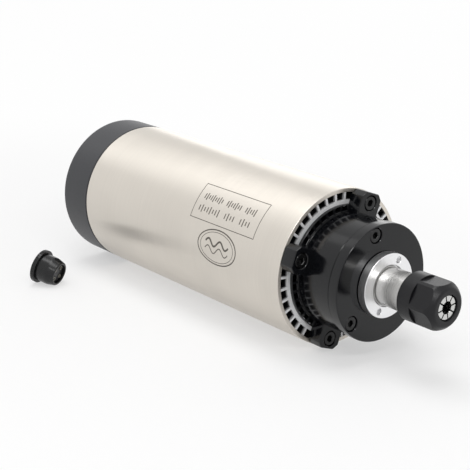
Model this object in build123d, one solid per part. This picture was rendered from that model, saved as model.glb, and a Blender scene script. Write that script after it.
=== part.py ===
"""Air-cooled router spindle: an 80 mm motor with a collet chuck, and its power connector.

Millimetres. The spindle axis is +X, towards the tool, and +Z is up. The origin is on the
axis at the front end of the steel sleeve. The spindle lies on its sleeve, on a surface at
z = -body_dia / 2, turned about its axis by lug_clock so that no lug is at the bottom.
Angles round the axis run from +Y towards +Z.
"""
from build123d import *
import math
import os

# ---------------------------------------------------------------- driving dimensions
# fits
seat_gap = 0.02          # radial gap between pieces that are pressed or screwed together
run_gap = 0.06           # radial gap of a running fit
air_gap = 0.4            # clear space between what turns and what stands still

# body
body_dia = 80.0          # outside of the sleeve and of the rear cap
sleeve_length = 167.5
sleeve_wall = 2.0
lug_clock = 69.0         # angle of the first front lug
lug_count = 4

# stator housing: an extrusion with cooling channels between its fins and the sleeve
channel_height = 3.8
housing_wall = 3.2
fin_thickness = 1.2
fin_pitch = 9.4          # degrees
fins_per_side = 7        # between two screw bosses
boss_width = 9.4
boss_thread_depth = 16.0
boss_thread_spare = 6.0    # thread left behind a cap screw's end

# front bell: the cast housing of the front bearings
bell_base_lap = 1.2      # how far the base ring reaches over the housing's wall
bell_base_thickness = 1.6
bell_shoulder = 3.4      # step from the base ring in to the hub
bell_hub_length = 22.8
bell_hub_wall = 7.8      # round the front bearings
bell_neck_depth = 0.6    # shallow undercut between base and hub
bell_neck_end = 5.8
bell_spigot_depth = 6.0
bell_lip = 2.6           # step behind the front bearings
lug_width = 13.5
lug_height = 8.0
lug_corner = 2.6
lug_screw_inset = 5.5    # from the body's outside to a lug screw's centre
pocket_length = 3.1      # tangential
pocket_depth = 4.0
pocket_margin = 0.5      # rim left outside the pockets
pockets_per_side = 7
pocket_pitch = 9.0       # degrees

# front flange, which holds the bearings in the bell
flange_overhang = 0.6    # beyond the hub
flange_thickness = 6.3
flange_register = 1.8    # reaches into the bearing bore
flange_register_wall = 3.2
flange_thread_depth = 10.0
flange_thread_spare = 3.0  # thread left behind a screw's end
flange_screw_sink = 0.4    # of a screw's head below the flange's face
flange_screw_count = 3
flange_screw_clock = 100.5

# dust ring, screwed on the shaft in front of the bearings
dust_ring_dia = 32.0
dust_ring_thickness = 4.6
dust_ring_mouth_dia = 20.6
dust_ring_mouth_depth = 2.0
dust_ring_hub_wall = 3.6
spanner_hole_dia = 3.2
spanner_hole_pcd = 26.2
spanner_hole_depth = 3.0
spanner_hole_clock = 63.0

# shaft
nose_dia = 19.0          # also the thread of the collet nut
nose_length = 63.0       # its end, from the origin
shaft_collar_dia = 25.0
shaft_collar_length = 8.0
rear_collar_step = 1.6       # shoulder in front of the rear bearing
rear_collar_length = 6.0
core_seat_dia = 22.0
fan_seat_dia = 10.0
relief_hole_dia = 11.6     # behind the taper, wider than the collet's small end
relief_hole_depth = 24.0   # behind the collet

# bearings: bore, outside, width, ball, number of balls; the bell's hub sets the front outside
front_bearing_bore = 20.0
front_bearing_width = 12.0
front_ball_dia = 6.35
front_ball_count = 9
front_bearing_count = 2
rear_bearing_bore = 15.0
rear_bearing_dia = 32.0
rear_bearing_width = 9.0
rear_ball_dia = 4.76
rear_ball_count = 9
race_land = 2.4          # how far each race stands clear of the ball circle
cage_wall = 1.2

# stator and rotor
stator_length = 84.0
stator_front = 34.0      # from the sleeve's front end back to the core
stator_bore = 34.0
slot_count = 18
slot_width = 3.0
stator_yoke = 4.8        # iron behind the slots
tooth_tip = 1.2
winding_overhang = 14.0
rotor_bar_count = 16
rotor_bar_width = 2.4
rotor_bar_depth = 4.6
rotor_bar_cover = 0.6    # iron outside a bar
end_ring_length = 6.0
end_ring_wall = 4.5

# rear bracket
rear_bracket_inset = 2.5   # from the sleeve's rear end
rear_bracket_thickness = 12.0
rear_bracket_web = 2.5
preload_washer_thickness = 0.9

# rear cap, fan and power inlet
cap_length = 24.5
cap_wall = 2.6
cap_edge = 1.0
cap_gasket_thickness = 0.8
grille_inner_dia = 30.0
grille_slot_width = 2.8
grille_slot_count = 24
grille_margin = 3.5      # from the slots' ends to the screw circle
cap_post_dia = 7.0
fan_clearance = 2.0      # between the blades' tips and the cap's posts
fan_hub_dia = 20.0
fan_width = 8.0
fan_space = 5.4          # between the inlet's nut and the fan
fan_clip_thickness = 1.2
fan_blade_count = 11
fan_blade_thickness = 1.2
inlet_thread_dia = 16.0
inlet_cavity_dia = 13.8
inlet_standout = 8.0
inlet_depth = 8.0
inlet_flange_dia = 19.0
inlet_flange_thickness = 2.0
inlet_nut_flats = 19.0
inlet_nut_thickness = 2.4
inlet_insert_length = 5.0
pin_pcd = 9.0
pin_dia = 1.5
pin_length = 6.0

# collet chuck
nut_dia = 24.0
nut_length = 21.0
nut_standout = 8.0       # front of the nut beyond the shaft's nose
nut_flat_length = 13.0
nut_flats = 21.6
nut_rear_chamfer = 1.0
nut_front_dia = 18.4
nut_front_taper = 3.2
nut_mouth_dia = 12.6
thread_pitch = 1.0
thread_turns = 8.0
collet_bore = 6.0
collet_length = 27.5
collet_inset = 0.7       # front of the collet behind the front of the nut
collet_mouth_dia = 16.6  # at the shaft's end
collet_half_angle = 8.0
collet_cone_angle = 30.0
collet_groove_dia = 13.6
collet_groove_width = 2.2
collet_head_length = 4.4
collet_slot_width = 0.5
collet_slot_count = 8
collet_slot_bridge = 4.0
chuck_clock = 10.0       # angle of a collet slot
nut_clock = 30.0         # angle of a corner of the nut's flats

# cap screws, by thread size
screw_dia = 4.0
screw_head_dia = 7.0
screw_head_height = 4.0
screw_key = 3.0
screw_key_depth = 2.2
counterbore_dia = 7.8
small_screw_dia = 3.0
small_head_dia = 5.5
small_head_height = 1.9
small_key = 2.0

# loose power connector, lying in front of the spindle's rear end
plug_station = -170.0    # centre of its flange along the spindle axis
plug_aside = -71.0
plug_turn = 25.0         # direction in which its face looks
plug_flange_dia = 19.3
plug_flange_thickness = 2.6
plug_body_dia = 16.0
plug_body_length = 6.4
plug_nose_dia = 13.2
plug_nose_length = 4.6
plug_recess_depth = 1.6
plug_wall = 1.1
contact_dia = 2.2
contact_bore = 1.5
contact_count = 4

# ---------------------------------------------------------------- places that follow
body_r = body_dia / 2
sleeve_bore_r = body_r - sleeve_wall
sleeve_rear = -sleeve_length
channel_floor_r = sleeve_bore_r - channel_height
housing_bore_r = channel_floor_r - housing_wall
fin_tip_r = sleeve_bore_r - seat_gap
lug_r = body_r - 0.3
lug_angles = [lug_clock + i * 360 / lug_count for i in range(lug_count)]
lug_screw_r = body_r - lug_screw_inset

bell_base_r = housing_bore_r + bell_base_lap
bell_hub_r = bell_base_r - bell_shoulder
front_bearing_dia = 2 * (bell_hub_r - bell_hub_wall)
flange_screw_r = bell_hub_r - bell_hub_wall / 2
flange_head_front = bell_hub_length + flange_thickness - flange_screw_sink
flange_screw_end = bell_hub_length - flange_thread_depth + flange_thread_spare
bearing_front = bell_hub_length - flange_register
shaft_thread_dia = front_bearing_bore - 0.1
bearing_rear = bearing_front - front_bearing_count * front_bearing_width
bell_bore_r = front_bearing_dia / 2 + seat_gap
bell_rear = -bell_spigot_depth
flange_front = bell_hub_length + flange_thickness
dust_ring_rear = flange_front + air_gap
dust_ring_front = dust_ring_rear + dust_ring_thickness
dust_hub_r = shaft_thread_dia / 2 + dust_ring_hub_wall
flange_screw_angles = [flange_screw_clock + i * 360 / flange_screw_count
                       for i in range(flange_screw_count)]

stator_rear = -stator_front - stator_length
stator_bore_r = stator_bore / 2
slot_bottom_r = stator_bore_r + tooth_tip
slot_depth = housing_bore_r - stator_yoke - slot_bottom_r
rotor_r = stator_bore_r - air_gap
rotor_bar_r = rotor_r - rotor_bar_cover - rotor_bar_depth / 2
bracket_rear = sleeve_rear + rear_bracket_inset
bracket_front = bracket_rear + rear_bracket_thickness
rear_bearing_rear = bracket_rear + rear_bracket_web + preload_washer_thickness
rear_bearing_front = rear_bearing_rear + rear_bearing_width
cap_rear = sleeve_rear - cap_length
cap_bore_r = body_r - cap_wall
gasket_rear = sleeve_rear - cap_gasket_thickness
fan_rear = cap_rear + cap_wall + inlet_nut_thickness + fan_space
fan_front = fan_rear + fan_width
fan_r = lug_screw_r - cap_post_dia / 2 - fan_clearance
grille_inner_r = grille_inner_dia / 2
grille_outer_r = lug_screw_r - grille_margin

nut_front = nose_length + nut_standout
nut_rear = nut_front - nut_length
nut_thread_end = nose_length + air_gap
nut_thread_rear = nose_length - thread_turns * thread_pitch
collet_front = nut_front - collet_inset
collet_rear = collet_front - collet_length
floor_z = -body_r


# ---------------------------------------------------------------- ways of making
def turned(points):
    """Solid of revolution about the spindle axis, from its (x, radius) outline."""
    return revolve(make_face(Polyline(*points, close=True)), Axis.X, 360)


def tube(x0, x1, outer_r, inner_r=0.0):
    """Plain cylinder or tube along the axis, from x0 to x1."""
    if inner_r <= 0:
        return turned([(x0, 0), (x1, 0), (x1, outer_r), (x0, outer_r)])
    return turned([(x0, inner_r), (x1, inner_r), (x1, outer_r), (x0, outer_r)])


def prism(sketch, x0, x1):
    """Sketch in the section plane, drawn along the axis from x0 to x1."""
    return extrude(Plane.YZ.offset(x0) * sketch, x1 - x0)


def round_bar(x0, x1, dia, radius, angle):
    """Cylinder along X, off the axis."""
    return Rot(angle, 0, 0) * Pos((x0 + x1) / 2, radius, 0) * Rot(0, 90, 0) * Cylinder(dia / 2, x1 - x0)


def around(shape, angles):
    """Copies of a shape turned round the axis."""
    return [Rot(a, 0, 0) * shape for a in angles]


def every(count, start=0.0):
    """Angles of an even ring."""
    return [start + i * 360 / count for i in range(count)]


def joined(shapes):
    """Fuse a list of shapes into one."""
    first, *rest = shapes
    return first.fuse(*rest).clean() if rest else first


def cap_screw(head_front, length, dia, head_dia, head_height, key, key_depth):
    """Socket cap screw on the axis, its head towards +X."""
    seat = head_front - head_height
    body = turned([
        (seat - length, 0), (head_front, 0),
        (head_front, head_dia / 2 - 0.3), (head_front - 0.3, head_dia / 2), (seat, head_dia / 2),
        (seat, dia / 2), (seat - length + 0.5, dia / 2), (seat - length, dia / 2 - 0.5),
    ])
    socket = prism(RegularPolygon(key / 2, 6, major_radius=False), head_front - key_depth, head_front + 1)
    return body - socket


def save(name, shape):
    """Write one node; a list of shapes becomes a group of separate solids."""
    if isinstance(shape, (list, tuple)):
        solids = [s for part in shape for s in part.solids()]
        shape = Compound(children=solids)
    shape.label = name
    export_step(shape, f"parts/{name}.step")


# ---------------------------------------------------------------- motor body
def outer_sleeve():
    edge = 0.4
    return turned([
        (sleeve_rear, sleeve_bore_r), (0, sleeve_bore_r),
        (0, body_r - edge), (-edge, body_r), (sleeve_rear, body_r),
    ])


def stator_housing():
    """Extruded tube whose fins stand in the sleeve, with four bosses for the bell's screws."""
    fin_root_r = channel_floor_r - 0.6
    fin_height = fin_tip_r - fin_root_r + 1
    fin = Pos(fin_root_r + fin_height / 2, 0) * Rectangle(fin_height, fin_thickness)
    boss_height = fin_tip_r - housing_bore_r
    boss = Pos(housing_bore_r + 0.5 + boss_height / 2, 0) * Rectangle(boss_height, boss_width)
    half = (fins_per_side - 1) / 2
    section = Circle(channel_floor_r)
    for lug in lug_angles:
        section += Rot(0, 0, lug) * boss
        middle = lug + 180 / lug_count
        for i in range(fins_per_side):
            section += Rot(0, 0, middle + (i - half) * fin_pitch) * fin
    section = (section & Circle(fin_tip_r)) - Circle(housing_bore_r)
    shape = prism(section, sleeve_rear, 0)
    for lug in lug_angles:
        shape -= round_bar(-boss_thread_depth, 1, screw_dia + 2 * seat_gap, lug_screw_r, lug)
        shape -= round_bar(sleeve_rear - 1, sleeve_rear + boss_thread_depth,
                           small_screw_dia + 2 * seat_gap, lug_screw_r, lug)
    return shape


def stator_core():
    """Stack of laminations with open slots round the rotor."""
    outer = housing_bore_r - seat_gap
    section = Circle(outer) - Circle(stator_bore_r)
    slot = Pos(slot_bottom_r + slot_depth / 2, 0) * Rectangle(slot_depth, slot_width)
    mouth = Pos(stator_bore_r + tooth_tip / 2, 0) * Rectangle(tooth_tip + 1, slot_width / 2)
    for a in every(slot_count):
        section -= Rot(0, 0, a) * (slot + mouth)
    return prism(section, stator_rear, -stator_front)


def stator_windings():
    """Copper in the slots, joined by the wound heads at both ends."""
    inner = slot_bottom_r + seat_gap
    outer = slot_bottom_r + slot_depth - seat_gap
    head_in, head_out = inner + 0.6, outer + 1.6
    bars = Sketch()
    bar = Pos((inner + outer) / 2, 0) * Rectangle(outer - inner, slot_width - 2 * seat_gap)
    for a in every(slot_count):
        bars += Rot(0, 0, a) * bar
    shape = prism(bars, stator_rear - 1, -stator_front + 1)
    for end, way in ((-stator_front, 1), (stator_rear, -1)):
        start = end + way * 0.6
        far = end + way * winding_overhang
        rounding = 2.5
        head = turned([
            (start, head_in), (far - way * rounding, head_in), (far, head_in + rounding),
            (far, head_out - rounding), (far - way * rounding, head_out), (start, head_out),
        ])
        shape = shape + head
    return shape


# ---------------------------------------------------------------- front end
def front_bell():
    """Casting with a hub for the bearings, a base ring with pockets and four screw lugs."""
    neck_r = bell_hub_r - bell_neck_depth
    edge = 0.5
    spigot_r = housing_bore_r - seat_gap
    lip_r = bell_bore_r - bell_lip
    shape = turned([
        (bell_rear, lip_r), (bell_rear, spigot_r), (0, spigot_r), (0, bell_base_r),
        (bell_base_thickness - edge, bell_base_r), (bell_base_thickness, bell_base_r - edge),
        (bell_base_thickness, neck_r), (bell_neck_end, neck_r),
        (bell_neck_end + edge, bell_hub_r), (bell_hub_length - edge, bell_hub_r),
        (bell_hub_length, bell_hub_r - edge), (bell_hub_length, lip_r),
    ])
    lug_blank = Pos(lug_r / 2, 0) * RectangleRounded(lug_r, lug_width, lug_corner)
    lug_section = lug_blank & Circle(lug_r)
    lug_section -= Circle(bell_bore_r + 1)
    for a in lug_angles:
        shape += prism(Rot(0, 0, a) * lug_section, 0, lug_height)
    shape -= tube(bearing_rear, bell_hub_length + 1, bell_bore_r)
    # pockets between the lugs
    pocket_out = bell_base_r - pocket_margin
    pocket_in = neck_r + 0.4
    pocket = Pos((pocket_in + pocket_out) / 2, 0) * Rectangle(pocket_out - pocket_in, pocket_length)
    half = (pockets_per_side - 1) / 2
    pockets = Sketch()
    for lug in lug_angles:
        middle = lug + 180 / lug_count
        for i in range(pockets_per_side):
            pockets += Rot(0, 0, middle + (i - half) * pocket_pitch) * pocket
    shape -= prism(pockets, bell_base_thickness - pocket_depth, bell_base_thickness + 1)
    # holes
    for a in lug_angles:
        shape -= round_bar(-1, lug_height + 1, screw_dia + 0.5, lug_screw_r, a)
        shape -= round_bar(lug_height - screw_head_height, lug_height + 1, counterbore_dia, lug_screw_r, a)
    for a in flange_screw_angles:
        shape -= round_bar(bell_hub_length - flange_thread_depth, bell_hub_length + 1,
                           screw_dia + 2 * seat_gap, flange_screw_r, a)
    return shape


def front_bell_screws():
    screw = cap_screw(lug_height, boss_thread_depth - 4, screw_dia, screw_head_dia,
                      screw_head_height, screw_key, screw_key_depth)
    return around(Pos(0, lug_screw_r, 0) * screw, lug_angles)


def front_flange():
    """Cover plate whose short register clamps the outer races."""
    r = bell_hub_r + flange_overhang
    edge = 0.8
    throat = dust_hub_r + air_gap
    register_r = bell_bore_r - seat_gap
    shape = turned([
        (bearing_front, front_bearing_dia / 2 - flange_register_wall), (bearing_front, register_r),
        (bell_hub_length, register_r), (bell_hub_length, r), (flange_front - edge, r),
        (flange_front, r - edge), (flange_front, throat), (bell_hub_length, throat),
    ])
    for a in flange_screw_angles:
        shape -= round_bar(bell_hub_length - 1, flange_front + 1, screw_dia + 0.5, flange_screw_r, a)
        shape -= round_bar(flange_head_front - screw_head_height, flange_front + 1,
                           counterbore_dia, flange_screw_r, a)
    return shape


def flange_screws():
    length = flange_head_front - screw_head_height - flange_screw_end
    screw = cap_screw(flange_head_front, length, screw_dia, screw_head_dia,
                      screw_head_height, screw_key, screw_key_depth)
    return around(Pos(0, flange_screw_r, 0) * screw, flange_screw_angles)


def dust_ring():
    """Ring nut that turns with the shaft; its two blind holes take a pin spanner."""
    r = dust_ring_dia / 2
    bore = shaft_thread_dia / 2 + seat_gap
    edge = 0.5
    shape = turned([
        (bearing_front, bore), (bearing_front, dust_hub_r), (dust_ring_rear, dust_hub_r),
        (dust_ring_rear, r), (dust_ring_front - edge, r), (dust_ring_front, r - edge),
        (dust_ring_front, dust_ring_mouth_dia / 2),
        (dust_ring_front - dust_ring_mouth_depth, dust_ring_mouth_dia / 2),
        (dust_ring_front - dust_ring_mouth_depth, bore),
    ])
    for a in (spanner_hole_clock, spanner_hole_clock + 180):
        shape -= round_bar(dust_ring_front - spanner_hole_depth, dust_ring_front + 1,
                           spanner_hole_dia, spanner_hole_pcd / 2, a)
    return shape


# ---------------------------------------------------------------- bearings
def race_stations(rear, width, count):
    """Centres of the bearings in a row that starts at rear."""
    return [rear + width * (i + 0.5) for i in range(count)]


def grooved_ring(centre, width, wall_r, land_r, ball_r, mid_r):
    """Race: a ring between wall_r and land_r, with a round groove for the balls."""
    half = width / 2
    ring = turned([(centre - half, wall_r), (centre + half, wall_r),
                   (centre + half, land_r), (centre - half, land_r)])
    groove = revolve(Pos(centre, mid_r) * Circle(ball_r + run_gap), Axis.X, 360)
    return ring - groove


def outer_races(centres, width, bearing_dia, bore, ball_dia):
    mid = (bearing_dia + bore) / 4
    return [grooved_ring(c, width, bearing_dia / 2, mid + race_land, ball_dia / 2, mid)
            for c in centres]


def inner_races(centres, width, bearing_dia, bore, ball_dia):
    mid = (bearing_dia + bore) / 4
    return [grooved_ring(c, width, bore / 2 + seat_gap, mid - race_land, ball_dia / 2, mid)
            for c in centres]


def balls(centres, bearing_dia, bore, ball_dia, count):
    mid = (bearing_dia + bore) / 4
    return [Rot(a, 0, 0) * Pos(c, mid, 0) * Sphere(ball_dia / 2) for c in centres for a in every(count)]


def cages(centres, bearing_dia, bore, ball_dia, count):
    """Two thin rings with a rung between each pair of balls."""
    mid = (bearing_dia + bore) / 4
    reach = ball_dia / 2 + 0.15
    shapes = []
    for c in centres:
        section = Circle(mid + cage_wall / 2) - Circle(mid - cage_wall / 2)
        rings = [prism(section, c - reach - 0.6, c - reach), prism(section, c + reach, c + reach + 0.6)]
        rung = Pos(c, mid, 0) * Box(2 * reach + 0.4, cage_wall * 0.9, cage_wall)
        shapes.append(joined(rings + around(rung, every(count, 180 / count))))
    return shapes


# ---------------------------------------------------------------- rotor
def shaft():
    """Ground spindle shaft with the collet's taper in its nose."""
    nose_r = nose_dia / 2
    thread_r = shaft_thread_dia / 2
    seat_r = front_bearing_bore / 2
    collar_r = shaft_collar_dia / 2
    core_r = core_seat_dia / 2
    rear_r = rear_bearing_bore / 2
    collar_step_r = rear_r + rear_collar_step
    fan_seat_r = fan_seat_dia / 2
    edge = 0.4
    collar_rear = bearing_rear - shaft_collar_length
    rear_shoulder = rear_bearing_front
    fan_end = fan_rear - fan_clip_thickness - 0.8
    thread_front = dust_ring_front - dust_ring_mouth_depth
    outline = [
        (fan_end, 0), (fan_end, fan_seat_r - edge), (fan_end + edge, fan_seat_r),
        (rear_bearing_rear - 2, fan_seat_r), (rear_bearing_rear - 2, rear_r),
        (rear_shoulder, rear_r), (rear_shoulder, collar_step_r),
        (rear_shoulder + rear_collar_length, collar_step_r),
        (stator_rear - end_ring_length - 4, core_r), (collar_rear, core_r), (collar_rear, collar_r),
        (bearing_rear, collar_r), (bearing_rear, seat_r), (bearing_front, seat_r),
        (bearing_front, thread_r), (thread_front, thread_r), (thread_front, nose_r),
        (nose_length - edge, nose_r), (nose_length, nose_r - edge), (nose_length, 0),
    ]
    shape = turned(outline)
    taper = math.tan(math.radians(collet_half_angle))
    mouth = collet_mouth_dia / 2 + run_gap
    relief_r = relief_hole_dia / 2
    relief_rear = collet_rear - relief_hole_depth
    taper_rear = nose_length - (mouth - relief_r) / taper
    reach = nose_length + 1
    socket = turned([
        (relief_rear, 0), (relief_rear + 2, relief_r), (taper_rear, relief_r),
        (reach, mouth + taper), (reach, 0),
    ])
    return shape - socket


def rotor_core():
    section = Circle(rotor_r) - Circle(core_seat_dia / 2 + seat_gap)
    slot = Pos(rotor_bar_r, 0) * Rectangle(rotor_bar_depth, rotor_bar_width)
    for a in every(rotor_bar_count):
        section -= Rot(0, 0, a) * slot
    return prism(section, stator_rear, -stator_front)


def rotor_cage():
    """Cast squirrel cage: bars through the core, short-circuit rings at both ends."""
    bars = Sketch()
    bar = Pos(rotor_bar_r, 0) * Rectangle(rotor_bar_depth - 2 * seat_gap, rotor_bar_width - 2 * seat_gap)
    for a in every(rotor_bar_count):
        bars += Rot(0, 0, a) * bar
    shape = prism(bars, stator_rear - 1, -stator_front + 1)
    ring = Circle(rotor_r - 0.4) - Circle(rotor_r - 0.4 - end_ring_wall)
    shape += prism(ring, -stator_front + 0.05, -stator_front + end_ring_length)
    shape += prism(ring, stator_rear - end_ring_length, stator_rear - 0.05)
    return shape


# ---------------------------------------------------------------- rear end
def rear_bracket():
    """Disc pressed into the housing's rear end, with a cup for the rear bearing."""
    bore = rear_bearing_dia / 2 + seat_gap
    outer = housing_bore_r - seat_gap
    clear_r = rear_bearing_bore / 2 + 1.5
    rim = 4.0
    cup = bore + 3.5
    web = bracket_rear + rear_bracket_web
    return turned([
        (bracket_rear, clear_r), (bracket_rear, outer), (bracket_front, outer),
        (bracket_front, outer - rim), (web + 1, outer - rim), (web + 1, cup),
        (bracket_front, cup), (bracket_front, bore), (web, bore), (web, clear_r),
    ])


def fan():
    """Radial impeller on the shaft's rear end."""
    hub_r = fan_hub_dia / 2
    bore = fan_seat_dia / 2 + seat_gap
    plate = 1.4
    shape = turned([
        (fan_rear, bore), (fan_rear, hub_r), (fan_front - plate, hub_r + 1.5),
        (fan_front - plate, fan_r), (fan_front, fan_r), (fan_front, bore),
    ])
    blade_in = hub_r - 0.4
    start = (blade_in, 0)
    sweep = 14.0
    middle_r = (blade_in + fan_r) / 2
    mid = (middle_r * math.cos(math.radians(sweep * 0.75)), middle_r * math.sin(math.radians(sweep * 0.75)))
    tip = (fan_r - 0.5) * math.cos(math.radians(sweep)), (fan_r - 0.5) * math.sin(math.radians(sweep))
    blade = trace(ThreePointArc(start, mid, tip), fan_blade_thickness)
    blades = Sketch()
    for a in every(fan_blade_count):
        blades += Rot(0, 0, a) * blade
    return shape + prism(blades, fan_rear, fan_front - plate + 0.2)


def fan_clip():
    """Snap ring that keeps the fan on the shaft."""
    bore = fan_seat_dia / 2 + seat_gap
    ring = tube(fan_rear - fan_clip_thickness, fan_rear, bore + 2.2, bore)
    gap = Pos(fan_rear - fan_clip_thickness / 2, bore + 1.1, 0) * Box(fan_clip_thickness * 2, 4.4, 2.4)
    return ring - gap


def preload_washer():
    """Wave washer, pressed flat, between the bracket's web and the rear bearing's outer race."""
    front = rear_bearing_rear
    outer = rear_bearing_dia / 2 - 0.4
    return tube(front - preload_washer_thickness, front, outer, outer - 2.6)


def rear_cap():
    """Moulded cap over the fan, with a slotted grille round the power inlet."""
    floor = cap_rear + cap_wall
    shape = turned([
        (cap_rear, 0), (cap_rear, body_r - cap_edge), (cap_rear + cap_edge, body_r),
        (gasket_rear, body_r), (gasket_rear, cap_bore_r), (floor, cap_bore_r), (floor, 0),
    ])
    for a in lug_angles:
        shape += round_bar(floor - 0.5, gasket_rear, cap_post_dia, lug_screw_r, a)
    slot = Pos((grille_inner_r + grille_outer_r) / 2, 0)
    slot *= Rectangle(grille_outer_r - grille_inner_r, grille_slot_width)
    slots = Sketch()
    for a in every(grille_slot_count, lug_clock + 180 / grille_slot_count):
        slots += Rot(0, 0, a) * slot
    shape -= prism(slots, cap_rear - 1, floor + 1)
    shape -= tube(cap_rear - 1, floor + 1, inlet_thread_dia / 2 + seat_gap)
    for a in lug_angles:
        shape -= round_bar(cap_rear - 1, gasket_rear + 1, small_screw_dia + 0.4, lug_screw_r, a)
        shape -= round_bar(cap_rear - 1, cap_rear + small_head_height + 0.2,
                           small_head_dia + 0.5, lug_screw_r, a)
    return shape


def cap_gasket():
    """Thin seal between the cap's lip and the sleeve, set back a little from the outside."""
    ring = tube(gasket_rear, sleeve_rear, body_r - 0.5, cap_bore_r)
    for a in lug_angles:
        ring += round_bar(gasket_rear, sleeve_rear, cap_post_dia, lug_screw_r, a)
        ring -= round_bar(gasket_rear - 1, sleeve_rear + 1, small_screw_dia + 0.4, lug_screw_r, a)
    return ring


def rear_cap_screws():
    length = cap_length - small_head_height + boss_thread_depth - boss_thread_spare
    screw = cap_screw(0, length, small_screw_dia, small_head_dia, small_head_height, small_key, 1.2)
    turned_back = Rot(0, 0, 180) * screw
    return around(Pos(cap_rear + 0.2, lug_screw_r, 0) * turned_back, lug_angles)


def inlet_shell():
    """Threaded barrel of the power inlet, open to the rear."""
    tip = cap_rear - inlet_standout
    end = cap_rear + cap_wall + inlet_nut_thickness + 1.0
    r = inlet_thread_dia / 2
    return turned([
        (tip, inlet_cavity_dia / 2), (tip, r - 0.5), (tip + 0.5, r),
        (cap_rear - inlet_flange_thickness, r), (cap_rear - inlet_flange_thickness, inlet_flange_dia / 2),
        (cap_rear, inlet_flange_dia / 2), (cap_rear, r), (end, r), (end, inlet_cavity_dia / 2),
    ])


def inlet_nut():
    floor = cap_rear + cap_wall
    section = RegularPolygon(inlet_nut_flats / 2, 6, major_radius=False)
    section -= Circle(inlet_thread_dia / 2 + seat_gap)
    return prism(section, floor, floor + inlet_nut_thickness)


def inlet_insert():
    """Insulating disc at the bottom of the inlet's cavity."""
    start = cap_rear - inlet_standout + inlet_depth
    shape = tube(start, start + inlet_insert_length, inlet_cavity_dia / 2 - seat_gap)
    for a in every(contact_count, 45):
        shape -= round_bar(start - 1, start + inlet_insert_length + 1, pin_dia + 2 * seat_gap, pin_pcd / 2, a)
    return shape


def inlet_pins():
    start = cap_rear - inlet_standout + inlet_depth
    end = start + inlet_insert_length
    return [round_bar(start - pin_length, end + 0.6, pin_dia, pin_pcd / 2, a) for a in every(contact_count, 45)]


# ---------------------------------------------------------------- collet chuck
def collet_cone_r(x):
    """Radius of the collet's front cone at a station."""
    head_rear = collet_front - collet_head_length
    widest = collet_mouth_dia / 2 - 0.4
    return widest - max(0.0, x - head_rear - 0.6) * math.tan(math.radians(collet_cone_angle))


def collet():
    """Spring collet, slotted by turns from both ends so that it closes evenly."""
    taper = math.tan(math.radians(collet_half_angle))
    head_rear = collet_front - collet_head_length
    groove_rear = head_rear - collet_groove_width
    bore = collet_bore / 2
    shape = turned([
        (collet_rear, bore), (collet_rear, taper_r(collet_rear, taper) - 0.3),
        (collet_rear + 0.3, taper_r(collet_rear + 0.3, taper)), (groove_rear, taper_r(groove_rear, taper)),
        (groove_rear, collet_groove_dia / 2), (head_rear, collet_groove_dia / 2),
        (head_rear, collet_cone_r(head_rear)), (head_rear + 0.6, collet_cone_r(head_rear)),
        (collet_front, collet_cone_r(collet_front)), (collet_front, bore + 0.3),
        (collet_front - 0.3, bore),
    ])
    reach = collet_mouth_dia / 2 + 1
    front_start = collet_rear + collet_slot_bridge
    rear_end = collet_front - collet_slot_bridge
    for i, a in enumerate(every(2 * collet_slot_count, chuck_clock)):
        x0, x1 = (front_start, collet_front + 1) if i % 2 == 0 else (collet_rear - 1, rear_end)
        slot = Pos((x0 + x1) / 2, reach / 2, 0) * Box(x1 - x0, reach, collet_slot_width)
        shape -= Rot(a, 0, 0) * slot
    return shape


def taper_r(x, taper):
    """Radius of the collet's long taper at a station; it seats in the shaft's mouth."""
    return collet_mouth_dia / 2 - (nose_length - x) * taper


def collet_nut():
    """Nut that draws the collet in; its inner lip pulls the collet out again."""
    r = nut_dia / 2
    thread_r = nose_dia / 2 + run_gap
    relief_r = thread_r + 0.4
    head_rear = collet_front - collet_head_length
    lip_r = collet_groove_dia / 2 + 0.45
    lip_rear = head_rear - collet_groove_width + 0.3
    lip_front = head_rear - 0.5
    room_r = taper_r(head_rear, math.tan(math.radians(collet_half_angle))) + 0.3
    cone_start = head_rear + 0.6
    mouth = nut_mouth_dia / 2
    cone_r = collet_cone_r(cone_start) + run_gap
    cone_end = cone_start + (cone_r - mouth) / math.tan(math.radians(collet_cone_angle))
    shape = turned([
        (nut_rear, relief_r), (nut_thread_rear, relief_r), (nut_thread_rear, thread_r),
        (nut_thread_end, thread_r), (nut_thread_end, room_r), (lip_rear, room_r), (lip_rear, lip_r),
        (lip_front, lip_r), (lip_front, cone_r), (cone_start, cone_r), (cone_end, mouth),
        (nut_front - 0.3, mouth), (nut_front, mouth + 0.3), (nut_front, nut_front_dia / 2),
        (nut_front - nut_front_taper, r), (nut_rear + nut_rear_chamfer, r),
        (nut_rear, r - nut_rear_chamfer),
    ])
    flats = RegularPolygon(nut_flats / 2, 6, major_radius=False)
    waste = prism(Rot(0, 0, nut_clock) * (Circle(r + 2) - flats), nut_front - nut_flat_length, nut_front + 1)
    return shape - waste


# ---------------------------------------------------------------- loose power connector
plug_length = plug_flange_thickness + plug_body_length + plug_nose_length
plug_tilt = math.degrees(math.atan2((plug_flange_dia - plug_body_dia) / 2, plug_body_length))


def laid_down(shape):
    """Put a plug piece, drawn on the spindle axis, where the plug lies on its ring and barrel."""
    t = math.radians(plug_tilt)
    height = plug_flange_thickness * math.sin(t) + plug_flange_dia / 2 * math.cos(t)
    return Pos(plug_station, plug_aside, floor_z + height) * Rot(0, 0, plug_turn) * Rot(0, plug_tilt, 0) * shape


def plug_ring():
    """Coupling ring, the widest part of the plug."""
    r = plug_flange_dia / 2
    return laid_down(turned([
        (0, plug_body_dia / 2 + seat_gap), (0, r - 0.5), (0.5, r), (plug_flange_thickness, r),
        (plug_flange_thickness, plug_body_dia / 2 + seat_gap),
    ]))


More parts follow.
